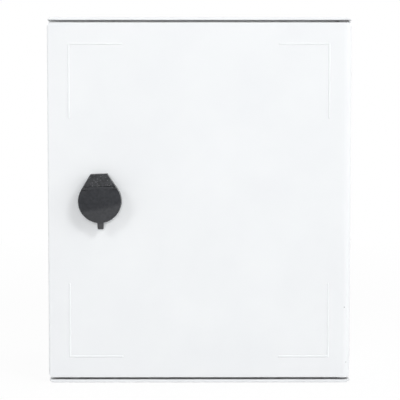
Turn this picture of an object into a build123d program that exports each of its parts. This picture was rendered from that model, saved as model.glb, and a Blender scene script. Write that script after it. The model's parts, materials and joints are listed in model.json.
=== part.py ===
from build123d import *
import os
from math import acos, atan2, cos, hypot, radians, sin, sqrt

# Wall box for electrical equipment: a moulded polyester body with a side hung door,
# a quarter turn lock under a hinged dust cover, and a steel mounting plate inside.
# The origin is the middle of the back face, +Z is up and the door faces -Y.
# Depths are measured forward from the wall, heights and widths from the middle.

os.makedirs("parts", exist_ok=True)

# Body moulding
body_width = 255.0
body_height = 308.0
overall_depth = 160.0
body_wall = 3.2
back_wall = 3.6
corner_radius = 4.0
cavity_corner_radius = 4.5
cavity_floor_radius = 4.0
back_edge_radius = 6.0
lip_thickness = 2.5
lip_setback = 1.6
lip_edge_radius = 0.7

# Rim that the door closes on
rim_thickness = 3.2
rim_width = 15.5
rim_gap = 1.0
tongue_thickness = 3.0
mouth_corner_radius = 8.0

# Wall fixing holes through the back
wall_hole_pitch_x = 192.0
wall_hole_pitch_z = 244.0
wall_hole_radius = 3.5
wall_collar = 4.0
wall_collar_height = 3.0

# Plate bosses with their ribs and brass inserts
boss_pitch_x = 176.0
boss_pitch_z = 170.0
boss_radius = 7.5
boss_height = 13.0
rib_length = 30.0
rib_thickness = 2.4
rib_drop = 4.0
insert_radius = 4.0
insert_length = 10.0
insert_bore = 2.5

# Mounting plate and its fixings
plate_width = 206.0
plate_height = 258.0
plate_thickness = 2.0
plate_notch = 26.0
plate_corner_radius = 3.0
plate_screw_radius = 2.4
plate_screw_length = 11.0
plate_head_radius = 4.6
plate_head_height = 3.2
plate_washer_radius = 5.6
plate_washer_thickness = 1.2

# Door moulding
door_depth = 14.0
door_gap = 2.0
door_skin = 3.0
door_flange = 3.0
door_inner_radius = 2.0
door_side_edge_radius = 1.5
door_end_edge_radius = 0.8
door_rib_pitch = 120.0
door_rib_thickness = 2.4
door_rib_height = 3.0
bead_width = 1.6
bead_height = 0.45
bead_edge = 0.4
bead_end_inset = 18.0
bead_lock_inset = 17.9
bead_hinge_inset = 19.2
bead_lock_arm = 44.3
bead_hinge_arm = 41.2
bead_upright_arm = 61.4

# Seal and its channel
seal_width = 9.0
seal_thickness = 5.0
seal_edge_radius = 1.0
channel_wall = 2.0
channel_height = 3.5

# Pivots at the hinge side
pin_radius = 2.5
pin_length = 16.5
pin_tip = 0.6
bush_radius = 4.0
bush_length = 13.0
bush_flange_radius = 4.9
bush_flange_thickness = 1.6

# Lock with its hinged dust cover
lock_inset = 44.2
lock_z = 0.6
lock_lean = 1.9
cover_stand = 14.2
cover_radius = 18.0
cover_top = 22.8
cover_top_width = 13.8
cover_hinge_height = 12.5
cover_wall = 2.4
cover_pocket_depth = 1.8
cover_dome_radius = 75.0
cover_edge_radius = 0.6
cover_block_setback = 0.5
cover_block_step = 1.6
cover_block_edge_radius = 0.8
knuckle_radius = 1.4
knuckle_width = 20.0
ear_width = 3.0
cover_pin_radius = 0.7
tab_width = 5.2
tab_reach = 23.4
tab_corner_radius = 1.2
housing_base = 7.0
barrel_radius = 11.0
barrel_flats = 20.0
gasket_thickness = 1.0
gasket_inset = 1.0
lock_pad_radius = 21.0
lock_pad_height = 2.0
nut_across_flats = 27.0
nut_thickness = 6.0
rotor_head_radius = 8.5
rotor_head_thickness = 4.6
rotor_seat = 1.5
rotor_radius = 6.0
rotor_square = 8.0
rotor_fixing_depth = 10.0
key_radius = 4.6
key_depth = 8.0
key_bar = 2.6
key_pin_radius = 1.9
oring_section_radius = 0.75
oring_groove_width = 2.0
cam_length = 33.0
cam_width = 15.0
cam_thickness = 2.5
cam_tip_radius = 3.0
cam_washer_radius = 7.0
cam_washer_thickness = 1.2
cam_screw_radius = 2.0
cam_head_radius = 4.2
cam_head_height = 3.0

# Screw heads
socket_across_flats = 3.0
socket_depth = 1.6
head_edge_radius = 0.6

# Clearances
press_clearance = 0.02
running_clearance = 0.06
slot_clearance = 0.2
cover_clearance = 0.4
hinge_clearance = 0.2
seal_clearance = 0.2
cam_clearance = 0.6
plate_hole_clearance = 0.5

# Depths that follow from the driving dimensions
body_depth = overall_depth - door_depth - rim_gap
door_back = overall_depth - door_depth
door_inner = overall_depth - door_skin
lip_front = overall_depth - lip_setback
seal_back = door_inner - seal_thickness
tongue_tip = seal_back - seal_clearance
plate_back = back_wall + boss_height
plate_front = plate_back + plate_thickness

# Outlines that follow from the driving dimensions
door_height = body_height - 2 * (lip_thickness + door_gap)
tongue_width = body_width - 2 * rim_width
tongue_height = body_height - 2 * rim_width
mouth_width = tongue_width - 2 * tongue_thickness
mouth_height = tongue_height - 2 * tongue_thickness
seal_line_width = tongue_width - tongue_thickness
seal_line_height = tongue_height - tongue_thickness
seal_line_radius = mouth_corner_radius + tongue_thickness / 2

# The door turns in the middle of its rounded hinge edge
nose_radius = door_depth / 2
pivot_x = body_width / 2 - nose_radius
pivot_depth = overall_depth - nose_radius
nose_inner_x = seal_line_width / 2 + seal_width / 2 + slot_clearance + channel_wall

# Place of the lock and depths along it
lock_x = lock_inset - body_width / 2
housing_back = overall_depth + gasket_thickness
housing_front = housing_back + housing_base
cover_back = housing_front + cover_clearance
cover_front = overall_depth + cover_stand
cover_axis_height = cover_hinge_height - hinge_clearance / 2 - knuckle_radius
cover_dome_middle = cover_front - cover_dome_radius
cover_axis_depth = cover_dome_middle + sqrt(cover_dome_radius**2 - cover_axis_height**2) - knuckle_radius
rotor_floor = housing_back + rotor_seat
rotor_front = rotor_floor + rotor_head_thickness
lock_pad_back = door_inner - lock_pad_height
cam_front = body_depth - rim_thickness - cam_clearance
cam_back = cam_front - cam_thickness
barrel_end = cam_front + cam_clearance
oring_depth = (barrel_end + lock_pad_back) / 2
oring_groove_depth = 2 * oring_section_radius
ear_inner = knuckle_width / 2 + running_clearance


def front_plane(depth):
    """Plane parallel to the wall, facing forward, at a depth in front of it."""
    return Plane.XZ.offset(depth)


# The lock sits turned a little, by the play that its flats have in the door's hole
lean_right = (cos(radians(lock_lean)), 0, sin(radians(lock_lean)))
lean_left = (-cos(radians(lock_lean)), 0, -sin(radians(lock_lean)))


def lock_plane(depth):
    """Front plane of the turned lock, with its origin on the lock's own axis."""
    return Plane(origin=(lock_x, -depth, lock_z), x_dir=lean_right, z_dir=(0, -1, 0))


# Upright sections of the door and of the lock: depth along the first axis, height along the second
side_section = Plane(origin=(0, 0, 0), x_dir=(0, -1, 0), z_dir=(-1, 0, 0))
lock_section = Plane(origin=(lock_x, 0, lock_z), x_dir=(0, -1, 0), z_dir=lean_left)


def rounded_ring(line_width, line_height, line_radius, reach_out, reach_in):
    """Sketch of a rounded frame that reaches both ways from its centre line."""
    RectangleRounded(line_width + 2 * reach_out, line_height + 2 * reach_out, line_radius + reach_out)
    RectangleRounded(
        line_width - 2 * reach_in, line_height - 2 * reach_in, line_radius - reach_in, mode=Mode.SUBTRACT
    )


def cover_outline():
    """Sketch of the dust cover's outline: a disc whose straight sides run up to a flat top."""
    half_top = cover_top_width / 2
    corner_reach = hypot(half_top, cover_top)
    tangent_angle = atan2(cover_top, half_top) - acos(cover_radius / corner_reach)
    tangent_x = cover_radius * cos(tangent_angle)
    tangent_z = cover_radius * sin(tangent_angle)
    with BuildLine() as outline:
        Line((tangent_x, tangent_z), (half_top, cover_top))
        Line((half_top, cover_top), (-half_top, cover_top))
        Line((-half_top, cover_top), (-tangent_x, tangent_z))
        ThreePointArc((-tangent_x, tangent_z), (0, -cover_radius), (tangent_x, tangent_z))
    make_face(outline.edges())


# Body shell
with BuildPart() as body_shell:
    with BuildSketch(front_plane(0)):
        RectangleRounded(body_width, body_height, corner_radius)
    extrude(amount=body_depth)
    fillet(body_shell.faces().sort_by(Axis.Y)[-1].edges(), back_edge_radius)
    # Hollow behind the rim
    with BuildSketch(front_plane(back_wall)):
        RectangleRounded(body_width - 2 * body_wall, body_height - 2 * body_wall, cavity_corner_radius)
    extrude(amount=body_depth - rim_thickness - back_wall, mode=Mode.SUBTRACT)
    cavity_floor = body_shell.faces().filter_by_position(Axis.Y, -back_wall, -back_wall)
    fillet(cavity_floor.edges(), cavity_floor_radius)
    # Mouth through the rim
    with BuildSketch(front_plane(body_depth - rim_thickness)):
        RectangleRounded(mouth_width, mouth_height, mouth_corner_radius)
    extrude(amount=rim_thickness, mode=Mode.SUBTRACT)
    # Tongue round the mouth that presses into the door seal
    with BuildSketch(front_plane(body_depth - rim_thickness)):
        rounded_ring(
            seal_line_width, seal_line_height, seal_line_radius, tongue_thickness / 2, tongue_thickness / 2
        )
    extrude(amount=tongue_tip - body_depth + rim_thickness)
    # Lips above and below the door, which carry its pivots
    with BuildSketch(front_plane(body_depth - rim_thickness)):
        RectangleRounded(body_width, body_height, corner_radius)
        Rectangle(body_width, body_height - 2 * lip_thickness, mode=Mode.SUBTRACT)
    extrude(amount=lip_front - body_depth + rim_thickness)
    lip_fronts = body_shell.faces().filter_by(Axis.Y).sort_by(Axis.Y)[:2]
    fillet(lip_fronts.edges().filter_by(Axis.X), lip_edge_radius)
    # Bosses for the mounting plate, stiffened by crossed ribs
    with BuildSketch(front_plane(back_wall)):
        with GridLocations(boss_pitch_x, boss_pitch_z, 2, 2):
            Circle(boss_radius)
    extrude(amount=boss_height)
    with BuildSketch(front_plane(back_wall)):
        with GridLocations(boss_pitch_x, boss_pitch_z, 2, 2):
            Rectangle(rib_length, rib_thickness)
            Rectangle(rib_thickness, rib_length)
    extrude(amount=boss_height - rib_drop)
    with BuildSketch(front_plane(plate_back)):
        with GridLocations(boss_pitch_x, boss_pitch_z, 2, 2):
            Circle(insert_radius + press_clearance)
    extrude(amount=-insert_length, mode=Mode.SUBTRACT)
    # Wall holes with raised collars
    with BuildSketch(front_plane(back_wall)):
        with GridLocations(wall_hole_pitch_x, wall_hole_pitch_z, 2, 2):
            Circle(wall_hole_radius + wall_collar)
    extrude(amount=wall_collar_height)
    with BuildSketch(front_plane(0)):
        with GridLocations(wall_hole_pitch_x, wall_hole_pitch_z, 2, 2):
            Circle(wall_hole_radius)
    extrude(amount=back_wall + wall_collar_height, mode=Mode.SUBTRACT)
    # Pivot holes through the lips
    with BuildSketch(Plane.XY):
        with Locations((pivot_x, -pivot_depth)):
            Circle(pin_radius + press_clearance)
    extrude(amount=body_height / 2, both=True, mode=Mode.SUBTRACT)
body_shell.part.label = "body_shell"
export_step(body_shell.part, "parts/body_shell.step")

# Brass inserts in the plate bosses
with BuildPart() as plate_inserts:
    with BuildSketch(front_plane(plate_back)):
        with GridLocations(boss_pitch_x, boss_pitch_z, 2, 2):
            Circle(insert_radius)
            Circle(insert_bore, mode=Mode.SUBTRACT)
    extrude(amount=-insert_length)
plate_inserts.part.label = "plate_inserts"
export_step(plate_inserts.part, "parts/plate_inserts.step")

# Mounting plate, with its corners cut out for the wall holes
with BuildPart() as mounting_plate:
    with BuildSketch(front_plane(plate_back)) as plate_outline:
        Rectangle(plate_width, plate_height)
        with GridLocations(plate_width - plate_notch, plate_height - plate_notch, 2, 2):
            Rectangle(plate_notch, plate_notch, mode=Mode.SUBTRACT)
        fillet(plate_outline.vertices(), plate_corner_radius)
        with GridLocations(boss_pitch_x, boss_pitch_z, 2, 2):
            Circle(plate_screw_radius + plate_hole_clearance, mode=Mode.SUBTRACT)
    extrude(amount=plate_thickness)
mounting_plate.part.label = "mounting_plate"
export_step(mounting_plate.part, "parts/mounting_plate.step")

# Washers under the plate screws
with BuildPart() as plate_washers:
    with BuildSketch(front_plane(plate_front)):
        with GridLocations(boss_pitch_x, boss_pitch_z, 2, 2):
            Circle(plate_washer_radius)
            Circle(plate_screw_radius + plate_hole_clearance, mode=Mode.SUBTRACT)
    extrude(amount=plate_washer_thickness)
plate_washers.part.label = "plate_washers"
export_step(plate_washers.part, "parts/plate_washers.step")

# Plate screws with hexagon sockets
plate_head_seat = plate_front + plate_washer_thickness
with BuildPart() as plate_screws:
    with BuildSketch(front_plane(plate_head_seat)):
        with GridLocations(boss_pitch_x, boss_pitch_z, 2, 2):
            Circle(plate_head_radius)
    extrude(amount=plate_head_height)
    fillet(plate_screws.faces().filter_by(Axis.Y).group_by(Axis.Y)[0].edges(), head_edge_radius)
    with BuildSketch(front_plane(plate_head_seat)):
        with GridLocations(boss_pitch_x, boss_pitch_z, 2, 2):
            Circle(plate_screw_radius)
    extrude(amount=-plate_screw_length)
    with BuildSketch(front_plane(plate_head_seat + plate_head_height)):
        with GridLocations(boss_pitch_x, boss_pitch_z, 2, 2):
            RegularPolygon(socket_across_flats / 2, 6, major_radius=False)
    extrude(amount=-socket_depth, mode=Mode.SUBTRACT)
plate_screws.part.label = "plate_screws"
export_step(plate_screws.part, "parts/plate_screws.step")

# Door panel: a shallow pan whose hinge edge is a half round about the pivots
door_plan = Plane(origin=(0, 0, door_height / 2), x_dir=(1, 0, 0), z_dir=(0, 0, -1))
pan_left = door_flange - body_width / 2
pan_width = nose_inner_x - pan_left
with BuildPart() as door_panel:
    with BuildSketch(front_plane(door_back)):
        RectangleRounded(body_width, door_height, corner_radius)
    extrude(amount=door_depth)
    with BuildSketch(door_plan) as plan_outline:
        with Locations((pivot_x, pivot_depth)):
            Rectangle(body_width - nose_radius, door_depth, align=(Align.MAX, Align.CENTER))
        lock_side_corners = plan_outline.vertices().group_by(Axis.X)[0]
        fillet(lock_side_corners.sort_by(Axis.Y)[-1], door_side_edge_radius)
        with Locations((pivot_x, pivot_depth)):
            Circle(nose_radius)
    extrude(amount=door_height, mode=Mode.INTERSECT)
    with BuildSketch(side_section) as side_outline:
        with Locations((pivot_depth, 0)):
            Rectangle(door_depth, door_height)
        fillet(side_outline.vertices().group_by(Axis.X)[-1], door_end_edge_radius)
    extrude(amount=body_width / 2, both=True, mode=Mode.INTERSECT)
    # Hollow of the pan
    with BuildSketch(front_plane(door_back)):
        with Locations((pan_left + pan_width / 2, 0)):
            RectangleRounded(pan_width, door_height - 2 * door_flange, door_inner_radius)
    extrude(amount=door_inner - door_back, mode=Mode.SUBTRACT)
    # Seal channel between two low walls
    channel_reach = seal_width / 2 + slot_clearance
    with BuildSketch(front_plane(door_inner)):
        rounded_ring(
            seal_line_width, seal_line_height, seal_line_radius, channel_reach + channel_wall, -channel_reach
        )
        rounded_ring(
            seal_line_width, seal_line_height, seal_line_radius, -channel_reach, channel_reach + channel_wall
        )
    extrude(amount=-channel_height)
    # Stiffening ribs across the inside
    with BuildSketch(front_plane(door_inner)):
        with GridLocations(0, door_rib_pitch, 1, 2):
            Rectangle(seal_line_width - 2 * channel_reach, door_rib_thickness)
    extrude(amount=-door_rib_height)
    # Thick pad and hole for the lock
    with BuildSketch(front_plane(door_inner)):
        with Locations((lock_x, lock_z)):
            Circle(lock_pad_radius)
    extrude(amount=-lock_pad_height)
    with BuildSketch(front_plane(lock_pad_back)):
        with Locations((lock_x, lock_z)):
            Circle(barrel_radius + slot_clearance)
            Rectangle(barrel_flats + 2 * slot_clearance, 3 * barrel_radius, mode=Mode.INTERSECT)
    extrude(amount=overall_depth - lock_pad_back, mode=Mode.SUBTRACT)
    # Raised corner beads on the outer face, set further in beside the rounded hinge edge
    bead_z = door_height / 2 - bead_end_inset
    with BuildSketch(front_plane(overall_depth)):
        for side, inset, arm in ((-1, bead_lock_inset, bead_lock_arm), (1, bead_hinge_inset, bead_hinge_arm)):
            bead_x = side * (body_width / 2 - inset)
            with Locations((bead_x - side * arm / 2, 0)):
                with GridLocations(0, 2 * bead_z, 1, 2):
                    SlotOverall(arm + bead_width, bead_width)
            with Locations((bead_x, 0)):
                with GridLocations(0, 2 * bead_z - bead_upright_arm, 1, 2):
                    SlotOverall(bead_upright_arm + bead_width, bead_width, rotation=90)
    extrude(amount=bead_height)
    bead_tops = door_panel.faces().filter_by(Axis.Y).group_by(Axis.Y)[0]
    chamfer(bead_tops.edges(), bead_edge)
    # Seats for the pivot bushes
    for end in (1, -1):
        with BuildSketch(Plane(origin=(pivot_x, -pivot_depth, end * door_height / 2), z_dir=(0, 0, -end))):
            Circle(bush_radius + press_clearance)
        extrude(amount=bush_length, mode=Mode.SUBTRACT)
door_panel.part.label = "door_panel"
export_step(door_panel.part, "parts/door_panel.step")

# Foam seal in the door's channel
with BuildPart() as door_seal:
    with BuildSketch(front_plane(door_inner)):
        rounded_ring(seal_line_width, seal_line_height, seal_line_radius, seal_width / 2, seal_width / 2)
    extrude(amount=-seal_thickness)
    fillet(door_seal.faces().filter_by(Axis.Y).sort_by(Axis.Y)[-1].edges(), seal_edge_radius)
door_seal.part.label = "door_seal"
export_step(door_seal.part, "parts/door_seal.step")

# Pivot pins in the lips and flanged bushes in the door, above and below
for place, end in (("upper", 1), ("lower", -1)):
    with BuildPart() as hinge_pin:
        with BuildSketch(Plane(origin=(pivot_x, -pivot_depth, end * body_height / 2), z_dir=(0, 0, -end))):
            Circle(pin_radius)
        extrude(amount=pin_length)
        chamfer(hinge_pin.faces().sort_by(Axis.Z)[-1 if end < 0 else 0].edges(), pin_tip)
    hinge_pin.part.label = f"hinge_pin_{place}"
    export_step(hinge_pin.part, f"parts/hinge_pin_{place}.step")

    with BuildPart() as hinge_bush:
        with BuildSketch(Plane(origin=(pivot_x, -pivot_depth, end * door_height / 2), z_dir=(0, 0, -end))):
            Circle(bush_radius)
        extrude(amount=bush_length)
        with BuildSketch(Plane(origin=(pivot_x, -pivot_depth, end * door_height / 2), z_dir=(0, 0, end))):
            Circle(bush_flange_radius)
        extrude(amount=bush_flange_thickness)
        with BuildSketch(Plane(origin=(pivot_x, -pivot_depth, end * door_height / 2), z_dir=(0, 0, end))):
            Circle(pin_radius + running_clearance)
        extrude(amount=bush_length, both=True, mode=Mode.SUBTRACT)
    hinge_bush.part.label = f"hinge_bush_{place}"
    export_step(hinge_bush.part, f"parts/hinge_bush_{place}.step")

# Flat rubber gasket between the lock and the door
with BuildPart() as lock_gasket:
    with BuildSketch(lock_plane(overall_depth)):
        cover_outline()
        offset(amount=-gasket_inset, mode=Mode.REPLACE)
        Circle(barrel_radius + slot_clearance, mode=Mode.SUBTRACT)
    extrude(amount=gasket_thickness)
lock_gasket.part.label = "lock_gasket"
export_step(lock_gasket.part, "parts/lock_gasket.step")

# Lock housing: base, sloping hinge block with two ears, and the barrel through the door
block_bottom = cover_hinge_height + hinge_clearance / 2
block_low_depth = cover_axis_depth + knuckle_radius - cover_block_setback
block_top_depth = housing_front + cover_block_step
profile_reach = 2 * cover_radius
with BuildPart() as lock_housing:
    with BuildSketch(lock_section) as housing_profile:
        with BuildLine():
            Polyline(
                (housing_back, -profile_reach),
                (housing_front, -profile_reach),
                (housing_front, block_bottom),
                (block_low_depth, block_bottom),
                (block_top_depth, cover_top),
                (housing_back, cover_top),
                close=True,
            )
        make_face()
        top_corners = housing_profile.vertices().group_by(Axis.Y)[-1]
        fillet(top_corners.sort_by(Axis.X)[-1], cover_block_edge_radius)
    extrude(amount=cover_radius, both=True)
    for side in (1, -1):
        with BuildSketch(lock_section.offset(side * ear_inner)):
            with Locations((cover_axis_depth, cover_axis_height)):
                Circle(knuckle_radius)
            with Locations((housing_front, cover_axis_height - knuckle_radius)):
                Rectangle(
                    cover_axis_depth - housing_front,
                    block_bottom - cover_axis_height + knuckle_radius,
                    align=(Align.MIN, Align.MIN),
                )
        extrude(amount=side * cover_radius)
    with BuildSketch(lock_plane(housing_back)):
        cover_outline()
    extrude(amount=cover_stand, mode=Mode.INTERSECT)
    with BuildSketch(lock_plane(barrel_end)):
        Circle(barrel_radius)
        Rectangle(barrel_flats, 3 * barrel_radius, mode=Mode.INTERSECT)
    extrude(amount=housing_back - barrel_end)
    with BuildSketch(lock_plane(rotor_floor)):
        Circle(rotor_head_radius + slot_clearance)
    extrude(amount=housing_front - rotor_floor, mode=Mode.SUBTRACT)
    with BuildSketch(lock_plane(barrel_end)):
        Circle(rotor_radius + running_clearance)
    extrude(amount=rotor_floor - barrel_end, mode=Mode.SUBTRACT)
    with BuildSketch(lock_section):
        with Locations((cover_axis_depth, cover_axis_height)):
            Circle(cover_pin_radius + press_clearance)
    extrude(amount=cover_radius, both=True, mode=Mode.SUBTRACT)
lock_housing.part.label = "lock_housing"
export_step(lock_housing.part, "parts/lock_housing.step")

# Hexagon nut that clamps the lock against the door's pad
with BuildPart() as lock_nut:
    with BuildSketch(lock_plane(lock_pad_back)):
        RegularPolygon(nut_across_flats / 2, 6, major_radius=False)
        Circle(barrel_radius + running_clearance, mode=Mode.SUBTRACT)
    extrude(amount=-nut_thickness)
lock_nut.part.label = "lock_nut"
export_step(lock_nut.part, "parts/lock_nut.step")

# Rotor with the double bit key way, a sealing groove and a square for the cam
with BuildPart() as lock_rotor:
    with BuildSketch(lock_plane(rotor_floor)):
        Circle(rotor_head_radius)
    extrude(amount=rotor_head_thickness)
    with BuildSketch(lock_plane(cam_front)):
        Circle(rotor_radius)
    extrude(amount=rotor_floor - cam_front)
    with BuildSketch(lock_plane(cam_back)):
        Rectangle(rotor_square, rotor_square)
    extrude(amount=cam_thickness)
    with BuildSketch(lock_plane(rotor_front)):
        Circle(key_radius)
        Rectangle(key_bar, 2 * key_radius, mode=Mode.SUBTRACT)
        Circle(key_pin_radius, mode=Mode.SUBTRACT)
    extrude(amount=-key_depth, mode=Mode.SUBTRACT)
    with BuildSketch(lock_plane(oring_depth)):
        Circle(rotor_radius)
        Circle(rotor_radius - oring_groove_depth, mode=Mode.SUBTRACT)
    extrude(amount=oring_groove_width / 2, both=True, mode=Mode.SUBTRACT)
    with BuildSketch(lock_plane(cam_back)):
        Circle(cam_screw_radius + running_clearance)
    extrude(amount=rotor_fixing_depth, mode=Mode.SUBTRACT)
lock_rotor.part.label = "lock_rotor"
export_step(lock_rotor.part, "parts/lock_rotor.step")

# Sealing ring in the rotor's groove
oring_line_radius = rotor_radius - oring_groove_depth + oring_section_radius + press_clearance
with BuildPart() as rotor_oring:
    with BuildSketch(lock_section):
        with Locations((oring_depth, oring_line_radius)):
            Circle(oring_section_radius)
    revolve(axis=Axis((lock_x, 0, lock_z), (0, 1, 0)))
rotor_oring.part.label = "rotor_oring"
export_step(rotor_oring.part, "parts/rotor_oring.step")

# Cam, hanging down when the door is free to open
cam_hole = rotor_square + 2 * running_clearance
with BuildPart() as lock_cam:
    with BuildSketch(lock_plane(cam_back)) as cam_outline:
        Rectangle(cam_width, cam_length, align=(Align.CENTER, Align.MAX))
        fillet(cam_outline.vertices().group_by(Axis.Y)[0], cam_tip_radius)
        Circle(cam_width / 2)
        Rectangle(cam_hole, cam_hole, mode=Mode.SUBTRACT)
    extrude(amount=cam_thickness)
lock_cam.part.label = "lock_cam"
export_step(lock_cam.part, "parts/lock_cam.step")

# Washer and screw that hold the cam on the rotor
with BuildPart() as cam_washer:
    with BuildSketch(lock_plane(cam_back)):
        Circle(cam_washer_radius)
        Circle(cam_screw_radius + slot_clearance, mode=Mode.SUBTRACT)
    extrude(amount=-cam_washer_thickness)
cam_washer.part.label = "cam_washer"
export_step(cam_washer.part, "parts/cam_washer.step")

cam_head_seat = cam_back - cam_washer_thickness
with BuildPart() as cam_screw:
    with BuildSketch(lock_plane(cam_head_seat)):
        Circle(cam_head_radius)
    extrude(amount=-cam_head_height)
    fillet(cam_screw.faces().sort_by(Axis.Y)[-1].edges(), head_edge_radius)
    with BuildSketch(lock_plane(cam_head_seat - cam_head_height)):
        RegularPolygon(socket_across_flats / 2, 6, major_radius=False)
    extrude(amount=socket_depth, mode=Mode.SUBTRACT)
    with BuildSketch(lock_plane(cam_head_seat)):
        Circle(cam_screw_radius)
    extrude(amount=cam_washer_thickness + rotor_fixing_depth - cam_clearance)
cam_screw.part.label = "cam_screw"
export_step(cam_screw.part, "parts/cam_screw.step")

# Dust cover flap: a slightly domed face with its knuckle and lifting tab
ear_notch_bottom = cover_axis_height - knuckle_radius - hinge_clearance
pocket_top = ear_notch_bottom - cover_wall
with BuildPart() as cover_flap:
    with BuildSketch(lock_plane(cover_back)) as flap_outline:
        Rectangle(tab_width, tab_reach, align=(Align.CENTER, Align.MAX))
        fillet(flap_outline.vertices().group_by(Axis.Y)[0], tab_corner_radius)
        cover_outline()
        with Locations((0, cover_axis_height)):
            Rectangle(2 * cover_radius, profile_reach, align=(Align.CENTER, Align.MAX), mode=Mode.INTERSECT)
    extrude(amount=cover_front - cover_back)
    with Locations((lock_x, -cover_dome_middle, lock_z)):
        Sphere(cover_dome_radius, mode=Mode.INTERSECT)
    dome_rim = cover_flap.faces().filter_by(GeomType.SPHERE).edges().sort_by(Axis.Z)[:-1]
    fillet(dome_rim, cover_edge_radius)
    # Notches that run closely round the ears
    for side in (1, -1):
        with BuildSketch(lock_section.offset(side * knuckle_width / 2)):
            with Locations((cover_axis_depth, cover_axis_height)):
                Circle(knuckle_radius + hinge_clearance)
            with Locations((cover_back, ear_notch_bottom)):
                Rectangle(cover_axis_depth - cover_back, cover_top, align=(Align.MIN, Align.MIN))
        extrude(amount=side * cover_radius, mode=Mode.SUBTRACT)
    # Hollow back
    with BuildSketch(lock_plane(cover_back)):
        Circle(cover_radius - cover_wall)
        with Locations((0, pocket_top)):
            Rectangle(2 * cover_radius, profile_reach, align=(Align.CENTER, Align.MAX), mode=Mode.INTERSECT)
    extrude(amount=cover_pocket_depth, mode=Mode.SUBTRACT)
    # Knuckle between the ears, with its bore for the pin
    with BuildSketch(lock_section):
        with Locations((cover_axis_depth, cover_axis_height)):
            Circle(knuckle_radius)
    extrude(amount=knuckle_width / 2, both=True)
    with BuildSketch(lock_section):
        with Locations((cover_axis_depth, cover_axis_height)):
            Circle(cover_pin_radius + running_clearance)
    extrude(amount=cover_radius, both=True, mode=Mode.SUBTRACT)
cover_flap.part.label = "cover_flap"
export_step(cover_flap.part, "parts/cover_flap.step")

# Pin of the dust cover
with BuildPart() as cover_pin:
    with BuildSketch(lock_section):
        with Locations((cover_axis_depth, cover_axis_height)):
            Circle(cover_pin_radius)
    extrude(amount=ear_inner + ear_width, both=True)
cover_pin.part.label = "cover_pin"
export_step(cover_pin.part, "parts/cover_pin.step")
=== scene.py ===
# %% [markdown]
# # Dressing a wall box for electrical equipment
# The box is a white polyester moulding with a side hung door, a charcoal lock under a dust cover
# and a steel plate inside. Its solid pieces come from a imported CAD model, so this lesson adds
# what a CAD model lacks: the skin of each material, the thread of the lock, the studio and the
# camera.

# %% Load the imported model
import json
import math

import bpy
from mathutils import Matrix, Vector


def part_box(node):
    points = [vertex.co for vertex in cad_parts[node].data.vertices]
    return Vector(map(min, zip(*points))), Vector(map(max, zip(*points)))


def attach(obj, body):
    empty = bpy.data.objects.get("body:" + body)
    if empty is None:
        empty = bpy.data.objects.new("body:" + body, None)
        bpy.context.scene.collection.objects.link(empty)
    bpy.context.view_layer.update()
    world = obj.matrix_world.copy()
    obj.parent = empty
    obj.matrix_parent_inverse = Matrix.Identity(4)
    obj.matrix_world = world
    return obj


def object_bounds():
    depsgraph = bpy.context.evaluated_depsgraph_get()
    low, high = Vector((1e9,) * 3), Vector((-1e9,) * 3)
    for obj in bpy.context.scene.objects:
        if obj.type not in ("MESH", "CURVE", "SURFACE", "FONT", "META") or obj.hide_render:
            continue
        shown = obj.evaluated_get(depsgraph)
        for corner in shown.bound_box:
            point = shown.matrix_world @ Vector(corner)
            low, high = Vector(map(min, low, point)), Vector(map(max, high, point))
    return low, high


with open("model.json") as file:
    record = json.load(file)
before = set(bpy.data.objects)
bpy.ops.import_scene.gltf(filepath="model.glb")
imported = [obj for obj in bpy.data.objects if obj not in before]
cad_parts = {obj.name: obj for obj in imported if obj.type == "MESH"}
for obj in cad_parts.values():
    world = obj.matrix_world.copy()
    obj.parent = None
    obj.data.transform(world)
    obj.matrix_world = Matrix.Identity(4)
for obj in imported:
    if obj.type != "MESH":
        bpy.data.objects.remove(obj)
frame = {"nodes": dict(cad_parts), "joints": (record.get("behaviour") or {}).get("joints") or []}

nodes = frame["nodes"]
cad_box = [list(corner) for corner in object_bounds()]
print("pieces from the model:", sorted(nodes))

# %% [markdown]
# ## Camera
# The photograph looks almost straight at the door, from a little above its middle. A long lens
# keeps the sides of the door nearly parallel. Cameras and lamps look along their own -Z axis, so
# the direction to what they face is turned into a rotation.

# %% Place the camera
DOOR_FACE = -0.160
CAMERA_AIM = Vector((0.0003, DOOR_FACE, 0.0011))
CAMERA_PLACE = Vector((-0.0033, -1.358, 0.0765))
SENSOR_WIDTH = 36.0
LENS_LENGTH = 128.6


def turn_towards(place, aim):
    """Gives the rotation that points an object's -Z axis from its place at a point."""
    return (aim - place).to_track_quat("-Z", "Y").to_euler()


bpy.ops.object.camera_add(location=CAMERA_PLACE)
camera = bpy.context.object
camera.name = "photo_camera"
camera.rotation_euler = turn_towards(CAMERA_PLACE, CAMERA_AIM)
camera.data.sensor_width = SENSOR_WIDTH
camera.data.lens = LENS_LENGTH
bpy.context.scene.camera = camera
print("camera distance:", round((CAMERA_AIM - CAMERA_PLACE).length, 3))

# %% [markdown]
# ## Node helpers
# Light, paper and finishes are all built from shader nodes. These helpers add a node, feed its
# inputs and return the output that the next node needs, so each effect reads from its source to
# its result.

# %% Add and feed nodes


def add_node(tree, kind, values=None, **settings):
    """Adds a node, sets its own options and then the values of its named inputs."""
    node = tree.nodes.new(kind)
    for name, value in settings.items():
        setattr(node, name, value)
    for name, value in (values or {}).items():
        feed(tree, node.inputs[name], value)
    return node


def feed(tree, socket, value):
    """Links an output to an input socket, or sets the socket to a constant."""
    if isinstance(value, bpy.types.NodeSocket):
        tree.links.new(value, socket)
    else:
        socket.default_value = value


# %% Calculate with nodes


def add_calculation(tree, kind, operation, values):
    """Adds a node that calculates, feeds its inputs in order and returns its outputs."""
    node = add_node(tree, kind, operation=operation)
    for socket, value in zip(node.inputs, values):
        feed(tree, socket, value)
    return node.outputs


def add_math(tree, operation, *values):
    """Calculates with numbers and returns the result."""
    return add_calculation(tree, "ShaderNodeMath", operation, values)["Value"]


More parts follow.
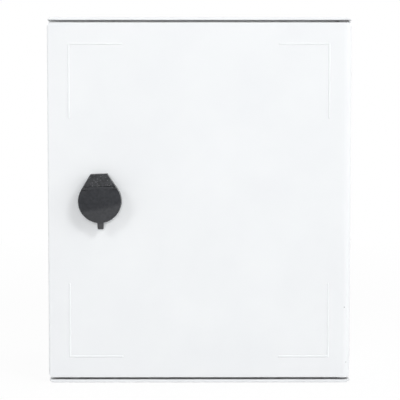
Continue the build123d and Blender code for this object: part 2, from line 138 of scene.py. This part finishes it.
def add_vector_math(tree, operation, *values, output="Vector"):
    """Calculates with vectors and returns a vector, or a number where the output is Value."""
    return add_calculation(tree, "ShaderNodeVectorMath", operation, values)[output]


def add_range(tree, value, start, end, low=0.0, high=1.0):
    """Maps a value that runs from start to end onto low to high and returns it."""
    ends = {"From Min": start, "From Max": end, "To Min": low, "To Max": high}
    return add_node(tree, "ShaderNodeMapRange", {"Value": value, **ends}).outputs["Result"]


def add_mix(tree, factor, first, second, kind="FLOAT"):
    """Mixes two numbers, or two colours of four numbers, by a factor and returns the result."""
    values = {"Factor": factor, "A": first, "B": second}
    return add_node(tree, "ShaderNodeMix", values, data_type=kind).outputs["Result"]


# %% Tell what is seen from what only lights


def add_seen_mask(tree):
    """Returns two masks: what the camera sees itself, and that with mirrors and glass too."""
    rays = add_node(tree, "ShaderNodeLightPath").outputs
    mirror = add_math(tree, "MAXIMUM", rays["Is Glossy Ray"], rays["Is Transmission Ray"])
    return rays["Is Camera Ray"], add_math(tree, "MAXIMUM", rays["Is Camera Ray"], mirror)


# %% [markdown]
# ## Studio
# White on white needs careful light. A soft lamp at the upper right models the rounded hinge edge
# and throws the lock's shadow to the lower left, a weaker one at the upper left throws a second
# shadow to the lower right, and a lamp near the camera lights the face evenly without a shadow of
# its own. The room fills in the rest: it is darker before the door than behind it, and brightest
# beside the hinges. To the camera the room is white. In reflections a patch behind the camera is
# dimmer, as a studio is there, so the dark lock keeps its colour and still mirrors the bright
# paper below it. The lamps themselves stay out of reflections, because their glare would wash out
# the box's white top when it is seen from behind.

# %% Room light
ROOM_FRONT, ROOM_BACK = 0.12, 0.8
ROOM_RIGHT, ROOM_LEFT = 2.05, 0.9
DEPTH_BLEND = 0.3
SIDE_START, SIDE_FULL = 0.4, 0.95
DIM_TOWARDS = Vector((0.0, -0.97, -0.24))
DIM_START, DIM_FULL = 0.55, 0.9
ROOM_DIM = 0.42
WHITE = (1.0, 1.0, 1.0, 1.0)

bpy.context.scene.view_settings.view_transform = "Standard"
room = bpy.data.worlds.new("studio_room")
bpy.context.scene.world = room
room.use_nodes = True
room_tree = room.node_tree
room_tree.nodes.clear()

room_camera, room_any = add_seen_mask(room_tree)
room_direction = add_node(room_tree, "ShaderNodeTexCoord").outputs["Generated"]
room_facing = add_node(room_tree, "ShaderNodeSeparateXYZ", {"Vector": room_direction}).outputs
room_fill = add_range(
    room_tree, room_facing["Y"], -DEPTH_BLEND, DEPTH_BLEND, ROOM_FRONT, ROOM_BACK
)
room_right = add_range(room_tree, room_facing["X"], SIDE_START, SIDE_FULL, 0.0, ROOM_RIGHT)
room_left = add_range(room_tree, room_facing["X"], -SIDE_START, -SIDE_FULL, 0.0, ROOM_LEFT)
room_walls = add_math(room_tree, "MAXIMUM", room_right, room_left)
room_gathered = add_math(room_tree, "MAXIMUM", room_fill, room_walls)
room_angle = add_vector_math(
    room_tree, "DOT_PRODUCT", room_direction, DIM_TOWARDS, output="Value"
)
room_patch = add_range(room_tree, room_angle, DIM_START, DIM_FULL, 1.0, ROOM_DIM)
room_mirrored = add_mix(room_tree, room_any, room_gathered, room_patch)
room_strength = add_mix(room_tree, room_camera, room_mirrored, 1.0)
room_background = add_node(
    room_tree, "ShaderNodeBackground", {"Color": WHITE, "Strength": room_strength}
)
add_node(room_tree, "ShaderNodeOutputWorld", {"Surface": room_background.outputs["Background"]})
print("room fill before, behind, right and left:", ROOM_FRONT, ROOM_BACK, ROOM_RIGHT, ROOM_LEFT)

# %% Soft lamps
LAMP_AIM = Vector((0.0, DOOR_FACE, 0.0))
LAMPS = {  # place, size and power
    "key_lamp": ((1.08, -1.67, 1.18), 0.55, 12.1),
    "side_lamp": ((-1.28, -1.66, 0.98), 0.55, 6.4),
    "front_lamp": ((0.0, -2.3, 0.3), 0.6, 17.0),
}

for lamp_name, (lamp_place, lamp_size, lamp_power) in LAMPS.items():
    bpy.ops.object.light_add(type="AREA", location=lamp_place)
    lamp = bpy.context.object
    lamp.name = lamp_name
    lamp.rotation_euler = turn_towards(Vector(lamp_place), LAMP_AIM)
    lamp.data.size = lamp_size
    lamp.data.energy = lamp_power
    lamp.visible_glossy = False
    print(lamp.name, "power:", lamp_power, "distance:", round((lamp.location - LAMP_AIM).length, 2))

# %% [markdown]
# The box stands on a sheet of white paper whose front edge runs slantwise some way before the
# door, and the dark dust cover mirrors that edge. The paper looks pure white, so only part of
# what the camera sees there is the lit paper, which carries the box's shadow, and the rest is an
# even glow. The share of lit paper fades with the distance from the box.

# %% Lay the paper
FLOOR_LEVEL = cad_box[0][2]
PAPER_FRONT = 0.68
PAPER_TURN = math.radians(-40.0)
PAPER_SIZE = 12.0

paper_reach_back = PAPER_SIZE / 2 - PAPER_FRONT
paper_middle = (
    -math.sin(PAPER_TURN) * paper_reach_back,
    math.cos(PAPER_TURN) * paper_reach_back,
    FLOOR_LEVEL,
)
bpy.ops.object.select_all(action="DESELECT")
bpy.ops.mesh.primitive_plane_add(
    size=PAPER_SIZE, location=paper_middle, rotation=(0.0, 0.0, PAPER_TURN)
)
floor = bpy.context.object
floor.name = "paper_sweep"
bpy.ops.object.transform_apply(location=True, rotation=True, scale=False)
print("floor level:", round(FLOOR_LEVEL, 4))

# %% Paper that keeps the shadow
PAPER_LIGHT = 0.97
PAPER_ALBEDO = 0.45
SHADOW_NEAR, SHADOW_FAR = 0.4, 1.2
SHADOW_SHARE = 0.08

paper = bpy.data.materials.new("white_paper")
paper.use_nodes = True
paper_tree = paper.node_tree
paper_tree.nodes.clear()
paper_any = add_seen_mask(paper_tree)[1]
paper_place = add_node(paper_tree, "ShaderNodeTexCoord").outputs["Object"]
paper_reach = add_vector_math(paper_tree, "LENGTH", paper_place, output="Value")
paper_share = add_range(paper_tree, paper_reach, SHADOW_NEAR, SHADOW_FAR, SHADOW_SHARE, 0.0)
paper_albedo = add_mix(paper_tree, paper_any, PAPER_ALBEDO, paper_share)
paper_rest = add_math(paper_tree, "MULTIPLY_ADD", paper_share, -PAPER_LIGHT, 1.0)
paper_glow = add_math(paper_tree, "MULTIPLY", paper_rest, paper_any)
paper_diffuse = add_node(paper_tree, "ShaderNodeBsdfDiffuse", {"Color": paper_albedo})
paper_emission = add_node(
    paper_tree, "ShaderNodeEmission", {"Color": WHITE, "Strength": paper_glow}
)
paper_sum = add_node(paper_tree, "ShaderNodeAddShader")
feed(paper_tree, paper_sum.inputs[0], paper_diffuse.outputs["BSDF"])
feed(paper_tree, paper_sum.inputs[1], paper_emission.outputs["Emission"])
add_node(paper_tree, "ShaderNodeOutputMaterial", {"Surface": paper_sum.outputs["Shader"]})
floor.data.materials.append(paper)
print("paper:", paper.name, "on", floor.name)

# %% [markdown]
# ## Shared effects
# Several finishes need the same kind of detail: the fine grain that a mould leaves on plastic,
# the faint smudges that hands leave, and the lines that rolling or turning leaves on metal. Each
# is a node group with named sockets, built once and given its own values in every material that
# uses it.

# %% Node group helpers
VECTOR = "NodeSocketVector"
NUMBER = "NodeSocketFloat"
TONE_START, TONE_END = 0.3, 0.7


def start_group(name, inputs, outputs):
    """Starts a shader node group and returns it, its input values and its output node."""
    group = bpy.data.node_groups.new(name, "ShaderNodeTree")
    for socket, kind in inputs.items():
        group.interface.new_socket(socket, in_out="INPUT", socket_type=kind)
    for socket, kind in outputs.items():
        group.interface.new_socket(socket, in_out="OUTPUT", socket_type=kind)
    return group, group.nodes.new("NodeGroupInput").outputs, group.nodes.new("NodeGroupOutput")


def add_noise(tree, place, scale, values):
    """Adds a noise texture at a place and returns its value."""
    places = {"Vector": place, "Scale": scale}
    return add_node(tree, "ShaderNodeTexNoise", {**places, **values}).outputs["Fac"]


def end_group(group, end, **results):
    """Feeds the results of a group to its output node."""
    for socket, value in results.items():
        feed(group, end.inputs[socket], value)
    print("group:", group.name)


# %% Grain that a mould leaves
mould_grain, grain_in, grain_out = start_group(
    "mould_grain",
    {"Place": VECTOR, "Grain": NUMBER, "Mottle": NUMBER},
    {"Height": NUMBER, "Tone": NUMBER},
)
fine_noise = add_noise(
    mould_grain, grain_in["Place"], grain_in["Grain"], {"Detail": 3.0, "Roughness": 0.6}
)
broad_noise = add_noise(
    mould_grain, grain_in["Place"], grain_in["Mottle"], {"Detail": 2.0, "Roughness": 0.5}
)
grain_tone = add_range(mould_grain, broad_noise, TONE_START, TONE_END)
end_group(mould_grain, grain_out, Height=fine_noise, Tone=grain_tone)

# %% Smudges that hands leave
SMUDGE_START, SMUDGE_END = 0.35, 0.65

hand_smudges, smudge_in, smudge_out = start_group(
    "hand_smudges",
    {"Place": VECTOR, "Spread": NUMBER, "Low": NUMBER, "High": NUMBER},
    {"Roughness": NUMBER},
)
smudge_noise = add_noise(
    hand_smudges,
    smudge_in["Place"],
    smudge_in["Spread"],
    {"Detail": 4.0, "Roughness": 0.55, "Distortion": 0.8},
)
smudge_gloss = add_range(
    hand_smudges, smudge_noise, SMUDGE_START, SMUDGE_END, smudge_in["Low"], smudge_in["High"]
)
end_group(hand_smudges, smudge_out, Roughness=smudge_gloss)

# %% Lines that rolling or turning leaves
metal_lines, lines_in, lines_out = start_group(
    "metal_lines",
    {"Place": VECTOR, "Stretch": VECTOR, "Scale": NUMBER},
    {"Height": NUMBER, "Tone": NUMBER},
)
lines_place = add_vector_math(metal_lines, "MULTIPLY", lines_in["Place"], lines_in["Stretch"])
lines_noise = add_noise(
    metal_lines, lines_place, lines_in["Scale"], {"Detail": 2.0, "Roughness": 0.6}
)
lines_tone = add_range(metal_lines, lines_noise, TONE_START, TONE_END)
end_group(metal_lines, lines_out, Height=lines_noise, Tone=lines_tone)

# %% [markdown]
# ## Finishes
# Every finish is one Principled shader. Its textures read Object coordinates, which are metres in
# the frame of the model, so a grain has its real size and a mark stays at its place on the piece
# when the piece moves. Colours are laid over each other by masks, and a bump gives the fine
# relief.

# %% Start a finish and give it to pieces


def start_finish(name, metallic=0.0):
    """Starts a material and returns it, its tree, its shader and its Object coordinates."""
    finish = bpy.data.materials.new(name)
    finish.use_nodes = True
    tree = finish.node_tree
    shader = tree.nodes["Principled BSDF"]
    shader.inputs["Metallic"].default_value = metallic
    place = add_node(tree, "ShaderNodeTexCoord").outputs["Object"]
    return finish, tree, shader, place


def dress(finish, *names):
    """Gives a finish to nodes of the model."""
    for name in names:
        nodes[name].data.materials.clear()
        nodes[name].data.materials.append(finish)
    print(finish.name, "on", names)


# %% Paint a finish
SPOT_CORE = 0.6


def add_group(tree, group, place, **values):
    """Places a shared node group, gives it its values and returns its outputs."""
    return add_node(tree, "ShaderNodeGroup", {"Place": place, **values}, node_tree=group).outputs


def add_tones(tree, factor, dark, light):
    """Mixes two colours by a factor and returns the colour."""
    return add_mix(tree, factor, (*dark, 1.0), (*light, 1.0), kind="RGBA")


def add_layer(tree, color, factor, tone):
    """Lays a tone over a colour by a factor and returns the colour."""
    return add_mix(tree, factor, color, (*tone, 1.0), kind="RGBA")


def add_spot(tree, place, color, point, radius, tone):
    """Lays a soft round spot of a tone over a colour and returns the colour."""
    reach = add_vector_math(tree, "DISTANCE", place, point, output="Value")
    return add_layer(tree, color, add_range(tree, reach, radius, SPOT_CORE * radius), tone)


def coat(tree, shader, color, roughness, height, relief):
    """Feeds colour, roughness and a bump of a strength and a depth to the shader."""
    strength, depth = relief
    values = {"Strength": strength, "Distance": depth, "Height": height}
    bump = add_node(tree, "ShaderNodeBump", values)
    feed(tree, shader.inputs["Base Color"], color)
    feed(tree, shader.inputs["Roughness"], roughness)
    feed(tree, shader.inputs["Normal"], bump.outputs["Normal"])


# %% [markdown]
# ## White polyester
# Body and door are pressed from glass filled polyester. The white is slightly cool and almost
# even, with a faint cloudiness from the filler and an orange peel skin from the tool. Two dark
# specks sit on the hinge edge of the door. They are painted by their distance from a point, so
# they stay put on the piece. Painted shade darkens the gaps above and below the door, deeper below,
# on the top of the lower lip. It is painted in patches inside two thin boxes round the lips' inner
# faces, and fades out at their sides.

# %% Painted shade in the gaps
# Painted shade in the gaps above and below the door: its fade, its reach round each middle, its
# patches, and a box middle and tone for each gap, darker below.
GAP_SHADE_FADE = 0.0025
GAP_SHADE_REACH = (0.1245, 0.0045, 0.001)
GAP_SHADE_GRAIN, GAP_SHADE_MOTTLE = 900.0, 170.0
GAP_SHADE_WEAK, GAP_SHADE_FULL = 0.55, 1.0
LOWER_GAP_SHADE = ((0.0, -0.1505, -0.1505), (0.36, 0.354, 0.344))
UPPER_GAP_SHADE = ((0.0, -0.1505, 0.1505), (0.68, 0.675, 0.66))


def add_gap_shade(tree, place, color, middle, tone):
    """Lays painted shade, in patches, over a colour inside a box and returns the colour."""
    offset = add_vector_math(tree, "SUBTRACT", place, middle)
    distance = add_vector_math(tree, "ABSOLUTE", offset)
    outside = add_vector_math(tree, "SUBTRACT", distance, GAP_SHADE_REACH)
    sides = add_node(tree, "ShaderNodeSeparateXYZ", {"Vector": outside}).outputs
    wider = add_math(tree, "MAXIMUM", sides["X"], sides["Y"])
    widest = add_math(tree, "MAXIMUM", wider, sides["Z"])
    inside = add_range(tree, widest, GAP_SHADE_FADE, 0.0)
    patches = add_group(tree, mould_grain, place, Grain=GAP_SHADE_GRAIN, Mottle=GAP_SHADE_MOTTLE)
    shade_amount = add_range(tree, patches["Tone"], 0.0, 1.0, GAP_SHADE_WEAK, GAP_SHADE_FULL)
    return add_layer(tree, color, add_math(tree, "MULTIPLY", inside, shade_amount), tone)


print("dust round:", LOWER_GAP_SHADE[0], UPPER_GAP_SHADE[0])

# %% Polyester of the body and the door
SPECKS = (((0.1221, -0.1598, -0.0896), 0.00045), ((0.1238, -0.1592, -0.1365), 0.0004))
SPECK_TONE = (0.12, 0.11, 0.1)
POLYESTER_TONES = ((0.875, 0.892, 0.909), (0.9, 0.917, 0.93))
POLYESTER_GRAIN = {"Grain": 900.0, "Mottle": 22.0}
POLYESTER_SMUDGES = {"Spread": 14.0, "Low": 0.4, "High": 0.48}
POLYESTER_RELIEF = (0.12, 0.0003)


def make_polyester(name, specks=(), gap_shade=()):
    """Cool white moulding with a faint cloudiness, an orange peel skin, specks and painted shade in
    the gaps.
    """
    finish, tree, shader, place = start_finish(name)
    grain = add_group(tree, mould_grain, place, **POLYESTER_GRAIN)
    color = add_tones(tree, grain["Tone"], *POLYESTER_TONES)
    for point, radius in specks:
        color = add_spot(tree, place, color, point, radius, SPECK_TONE)
    # Painted shade in the gaps, wherever boxes for it are given.
    for middle, tone in gap_shade:
        color = add_gap_shade(tree, place, color, middle, tone)
    smudges = add_group(tree, hand_smudges, place, **POLYESTER_SMUDGES)
    coat(tree, shader, color, smudges["Roughness"], grain["Height"], POLYESTER_RELIEF)
    return finish


# The body carries painted shade in the gaps below and above the door.
dress(make_polyester("body_polyester", gap_shade=(LOWER_GAP_SHADE, UPPER_GAP_SHADE)), "body_shell")
dress(make_polyester("door_polyester", specks=SPECKS), "door_panel")

# %% [markdown]
# ## Charcoal plastic
# The lock housing and its dust cover are glass filled nylon: nearly black, semi gloss, with a
# fine spark texture. On the housing the glass shows as pale flecks, which are the middles of some
# cells of a Voronoi texture. The cover's tab is painted a little paler. The bushes are a
# grey nylon without the gloss.

# %% Flecks and fine texture
FLECK_TONE = (0.12, 0.122, 0.127)
FLECK_SCALE = 720.0
FLECK_EDGE, FLECK_CORE = 0.44, 0.28
FLECK_NONE, FLECK_ALL = 0.55, 0.85
PLASTIC_GRAIN = {"Grain": 2600.0, "Mottle": 420.0}
PLASTIC_SPREAD = 60.0
PLASTIC_RELIEF = (0.1, 0.0001)


def add_cells(tree, place, scale):
    """Adds a Voronoi texture and returns its outputs."""
    return add_node(tree, "ShaderNodeTexVoronoi", {"Vector": place, "Scale": scale}).outputs


def add_flecks(tree, place, color):
    """Strews pale flecks over a colour and returns the colour."""
    cells = add_cells(tree, place, FLECK_SCALE)
    core = add_range(tree, cells["Distance"], FLECK_EDGE, FLECK_CORE)
    picked = add_node(tree, "ShaderNodeSeparateColor", {"Color": cells["Color"]}).outputs["Red"]
    chosen = add_range(tree, picked, FLECK_NONE, FLECK_ALL)
    return add_layer(tree, color, add_math(tree, "MULTIPLY", core, chosen), FLECK_TONE)


def make_plastic(name, tones, roughness, paler_spots=(), flecked=False):
    """Fine textured plastic between two tones and two roughness values, with any paler spots and
    flecks.
    """
    finish, tree, shader, place = start_finish(name)
    low, high = roughness
    grain = add_group(tree, mould_grain, place, **PLASTIC_GRAIN)
    smudges = add_group(tree, hand_smudges, place, Spread=PLASTIC_SPREAD, Low=low, High=high)
    color = add_tones(tree, grain["Tone"], *tones)
    for point, radius, tone in paler_spots:
        color = add_spot(tree, place, color, point, radius, tone)
    if flecked:
        color = add_flecks(tree, place, color)
    coat(tree, shader, color, smudges["Roughness"], grain["Height"], PLASTIC_RELIEF)
    return finish


print("fleck cells per metre:", FLECK_SCALE)

# %% Plastic of the lock and the bushes
# A paler round spot on the cover's tab: its middle, radius and tone.
PALER_TAB_SPOT = ((-0.0826, -0.1715, -0.0214), 0.0042, (0.05, 0.0505, 0.0545))

lock_charcoal = make_plastic(
    "lock_charcoal",
    tones=((0.013, 0.0137, 0.0155), (0.0445, 0.046, 0.051)),
    roughness=(0.3, 0.36),
    flecked=True,
)
cover_charcoal = make_plastic(
    "cover_charcoal",
    tones=((0.023, 0.0245, 0.0285), (0.037, 0.039, 0.0445)),
    roughness=(0.1, 0.15),
    paler_spots=(PALER_TAB_SPOT,),
)
bush_nylon = make_plastic(
    "bush_nylon", tones=((0.155, 0.157, 0.16), (0.185, 0.187, 0.19)), roughness=(0.5, 0.6)
)
dress(lock_charcoal, "lock_housing")
dress(cover_charcoal, "cover_flap")
dress(bush_nylon, "hinge_bush_upper", "hinge_bush_lower")

# %% [markdown]
# ## Rubber and foam
# The door seal is a closed cell foam strip with open pores on its skin, and the gaskets are plain
# rubber. A Voronoi texture makes round pores: its distance is small near each cell's middle.

# %% Foam of the door seal
PORE_SCALE = 1400.0
PORE_FLOOR, PORE_RIM = 0.1, 0.45
FOAM_TONES = ((0.012, 0.012, 0.012), (0.035, 0.035, 0.036))
FOAM_ROUGHNESS = 0.85
FOAM_RELIEF = (0.5, 0.0004)

foam, foam_tree, foam_shader, foam_place = start_finish("seal_foam")
foam_cells = add_cells(foam_tree, foam_place, PORE_SCALE)
foam_skin = add_range(foam_tree, foam_cells["Distance"], PORE_FLOOR, PORE_RIM)
foam_color = add_tones(foam_tree, foam_skin, *FOAM_TONES)
coat(foam_tree, foam_shader, foam_color, FOAM_ROUGHNESS, foam_skin, FOAM_RELIEF)
dress(foam, "door_seal")

# %% Rubber of the gasket and the ring
gasket_rubber = make_plastic(
    "gasket_rubber", tones=((0.012, 0.012, 0.012), (0.02, 0.02, 0.02)), roughness=(0.6, 0.75)
)
dress(gasket_rubber, "lock_gasket", "rotor_oring")

# %% [markdown]
# ## Metals
# The plate is hot dip galvanised, so zinc crystals show as flat patches of different brightness,
# which a Voronoi texture's cell colours give. Plated screws, washers and the cam carry fine
# lines, the lock's insides are die cast zinc with a cloudy skin, and the inserts are turned
# brass.

# %% Galvanised plate
CRYSTAL_SCALE = 140.0
CRYSTAL_TONES = ((0.55, 0.57, 0.59), (0.64, 0.66, 0.68))
CRYSTAL_SMOOTH, CRYSTAL_ROUGH = 0.34, 0.44
SHEET_LINES = {"Stretch": (60.0, 60.0, 2.0), "Scale": 8.0}
SHEET_RELIEF = (0.08, 0.0002)

plate, plate_tree, plate_shader, plate_place = start_finish("galvanised_sheet", metallic=1.0)
crystals = add_cells(plate_tree, plate_place, CRYSTAL_SCALE)
crystal_value = add_node(
    plate_tree, "ShaderNodeSeparateColor", {"Color": crystals["Color"]}
).outputs
plate_color = add_tones(plate_tree, crystal_value["Red"], *CRYSTAL_TONES)
plate_gloss = add_range(
    plate_tree, crystal_value["Green"], 0.0, 1.0, CRYSTAL_SMOOTH, CRYSTAL_ROUGH
)
sheet_lines = add_group(plate_tree, metal_lines, plate_place, **SHEET_LINES)
coat(plate_tree, plate_shader, plate_color, plate_gloss, sheet_lines["Height"], SHEET_RELIEF)
dress(plate, "mounting_plate")

# %% Plated, cast and turned metal
LINE_SCALE = 30.0
METAL_SPREAD = 120.0
METAL_RELIEF = (0.1, 0.0001)
ALONG_HEIGHT = (80.0, 80.0, 4.0)
ALONG_DEPTH = (80.0, 4.0, 80.0)
CLOUDY = (20.0, 20.0, 20.0)


def make_metal(name, stretch, tones, roughness):
    """Metal with fine lines along one direction and slightly uneven gloss."""
    finish, tree, shader, place = start_finish(name, metallic=1.0)
    low, high = roughness
    lines = add_group(tree, metal_lines, place, Stretch=stretch, Scale=LINE_SCALE)
    smudges = add_group(tree, hand_smudges, place, Spread=METAL_SPREAD, Low=low, High=high)
    color = add_tones(tree, lines["Tone"], *tones)
    coat(tree, shader, color, smudges["Roughness"], lines["Height"], METAL_RELIEF)
    return finish


zinc_plate = make_metal(
    "zinc_plate",
    ALONG_HEIGHT,
    tones=((0.52, 0.54, 0.56), (0.66, 0.68, 0.7)),
    roughness=(0.26, 0.36),
)
die_cast_zinc = make_metal(
    "die_cast_zinc", CLOUDY, tones=((0.4, 0.4, 0.41), (0.5, 0.5, 0.51)), roughness=(0.34, 0.48)
)
pin_steel = make_metal(
    "pin_steel",
    ALONG_HEIGHT,
    tones=((0.55, 0.55, 0.56), (0.66, 0.66, 0.67)),
    roughness=(0.2, 0.3),
)
blackened_steel = make_metal(
    "blackened_steel",
    CLOUDY,
    tones=((0.03, 0.03, 0.031), (0.05, 0.05, 0.052)),
    roughness=(0.4, 0.5),
)
turned_brass = make_metal(
    "turned_brass",
    ALONG_DEPTH,
    tones=((0.62, 0.45, 0.18), (0.75, 0.57, 0.26)),
    roughness=(0.24, 0.34),
)
dress(zinc_plate, "lock_cam", "cam_washer", "cam_screw", "plate_screws", "plate_washers")
dress(die_cast_zinc, "lock_rotor", "lock_nut")
dress(pin_steel, "hinge_pin_upper", "hinge_pin_lower")
dress(blackened_steel, "cover_pin")
dress(turned_brass, "plate_inserts")

# %% [markdown]
# ## Thread of the lock's barrel
# Behind the door the nut runs on a coarse thread that is moulded on the lock's barrel. The model
# has the plain barrel, so the ridge is added round it. A small diamond is swept along a helix by
# the Screw modifier, which turns round an axis of the object itself, so the object starts on the
# lock's axis. Two cuts then take the ridge away where the barrel has its flats.

# %% Measure the barrel
THREAD_RADIUS = 0.011
THREAD_PITCH = 0.0015
THREAD_RISE = 0.0004
THREAD_HALF_WIDTH = 0.0006
FLAT_REACH = 0.00998

joints = {joint["name"]: joint for joint in frame["joints"]}
lock_axis = Vector(joints["lock_turn"]["pos_m"])
cover_axis = Vector(joints["cover_lift"]["axis"])
across = Vector((-cover_axis.x, 0.0, -cover_axis.z)).normalized()
thread_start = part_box("lock_nut")[1][1] + THREAD_HALF_WIDTH
thread_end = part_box("lock_housing")[1][1] - THREAD_HALF_WIDTH
thread_turns = int((thread_end - thread_start) / THREAD_PITCH)
print("thread turns:", thread_turns, "from", round(thread_start, 4), "to", round(thread_end, 4))

# %% Sweep the ridge
DIAMOND_CORNERS = 4
SWEEP_STEPS = 72

bpy.ops.object.select_all(action="DESELECT")
bpy.ops.mesh.primitive_circle_add(
    vertices=DIAMOND_CORNERS, radius=1.0, location=(lock_axis.x, thread_start, lock_axis.z)
)
thread = bpy.context.object
thread.name = "barrel_thread"
bpy.ops.object.mode_set(mode="EDIT")
bpy.ops.mesh.select_all(action="SELECT")
bpy.ops.transform.resize(value=(THREAD_RISE, THREAD_HALF_WIDTH, 1.0))
bpy.ops.transform.translate(value=(THREAD_RADIUS, 0.0, 0.0))
bpy.ops.object.mode_set(mode="OBJECT")
sweep = thread.modifiers.new("sweep", "SCREW")
sweep.axis = "Y"
sweep.steps = SWEEP_STEPS
sweep.render_steps = SWEEP_STEPS
sweep.iterations = thread_turns
sweep.screw_offset = THREAD_PITCH
bpy.ops.object.modifier_apply(modifier=sweep.name)
print("swept faces:", len(thread.data.polygons))

# %% Close the ends, cut the flats and fit the ridge to the lock
WELD_REACH = 1e-6
SMOOTH_ANGLE = math.radians(30.0)

bpy.ops.object.mode_set(mode="EDIT")
bpy.ops.mesh.select_all(action="SELECT")
bpy.ops.mesh.remove_doubles(threshold=WELD_REACH)
bpy.ops.mesh.select_all(action="DESELECT")
bpy.ops.mesh.select_mode(type="EDGE")
bpy.ops.mesh.select_non_manifold()
bpy.ops.mesh.edge_face_add()
for side in (1, -1):
    flat_point = lock_axis + side * FLAT_REACH * across
    bpy.ops.mesh.select_all(action="SELECT")
    bpy.ops.mesh.bisect(
        plane_co=flat_point, plane_no=side * across, use_fill=True, clear_outer=True
    )
bpy.ops.mesh.select_all(action="SELECT")
bpy.ops.mesh.remove_doubles(threshold=WELD_REACH)
bpy.ops.mesh.normals_make_consistent(inside=False)
bpy.ops.object.mode_set(mode="OBJECT")
bpy.ops.object.transform_apply(location=True, rotation=True, scale=True)
bpy.ops.object.shade_smooth_by_angle(angle=SMOOTH_ANGLE)
thread.data.materials.append(lock_charcoal)
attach(thread, "door")
print("thread faces:", len(thread.data.polygons))

# %% [markdown]
# ## Finish
# The size of the CAD model, measured when it was loaded, is printed.

# %% Print the size of the CAD model
print("cad box:", cad_box)
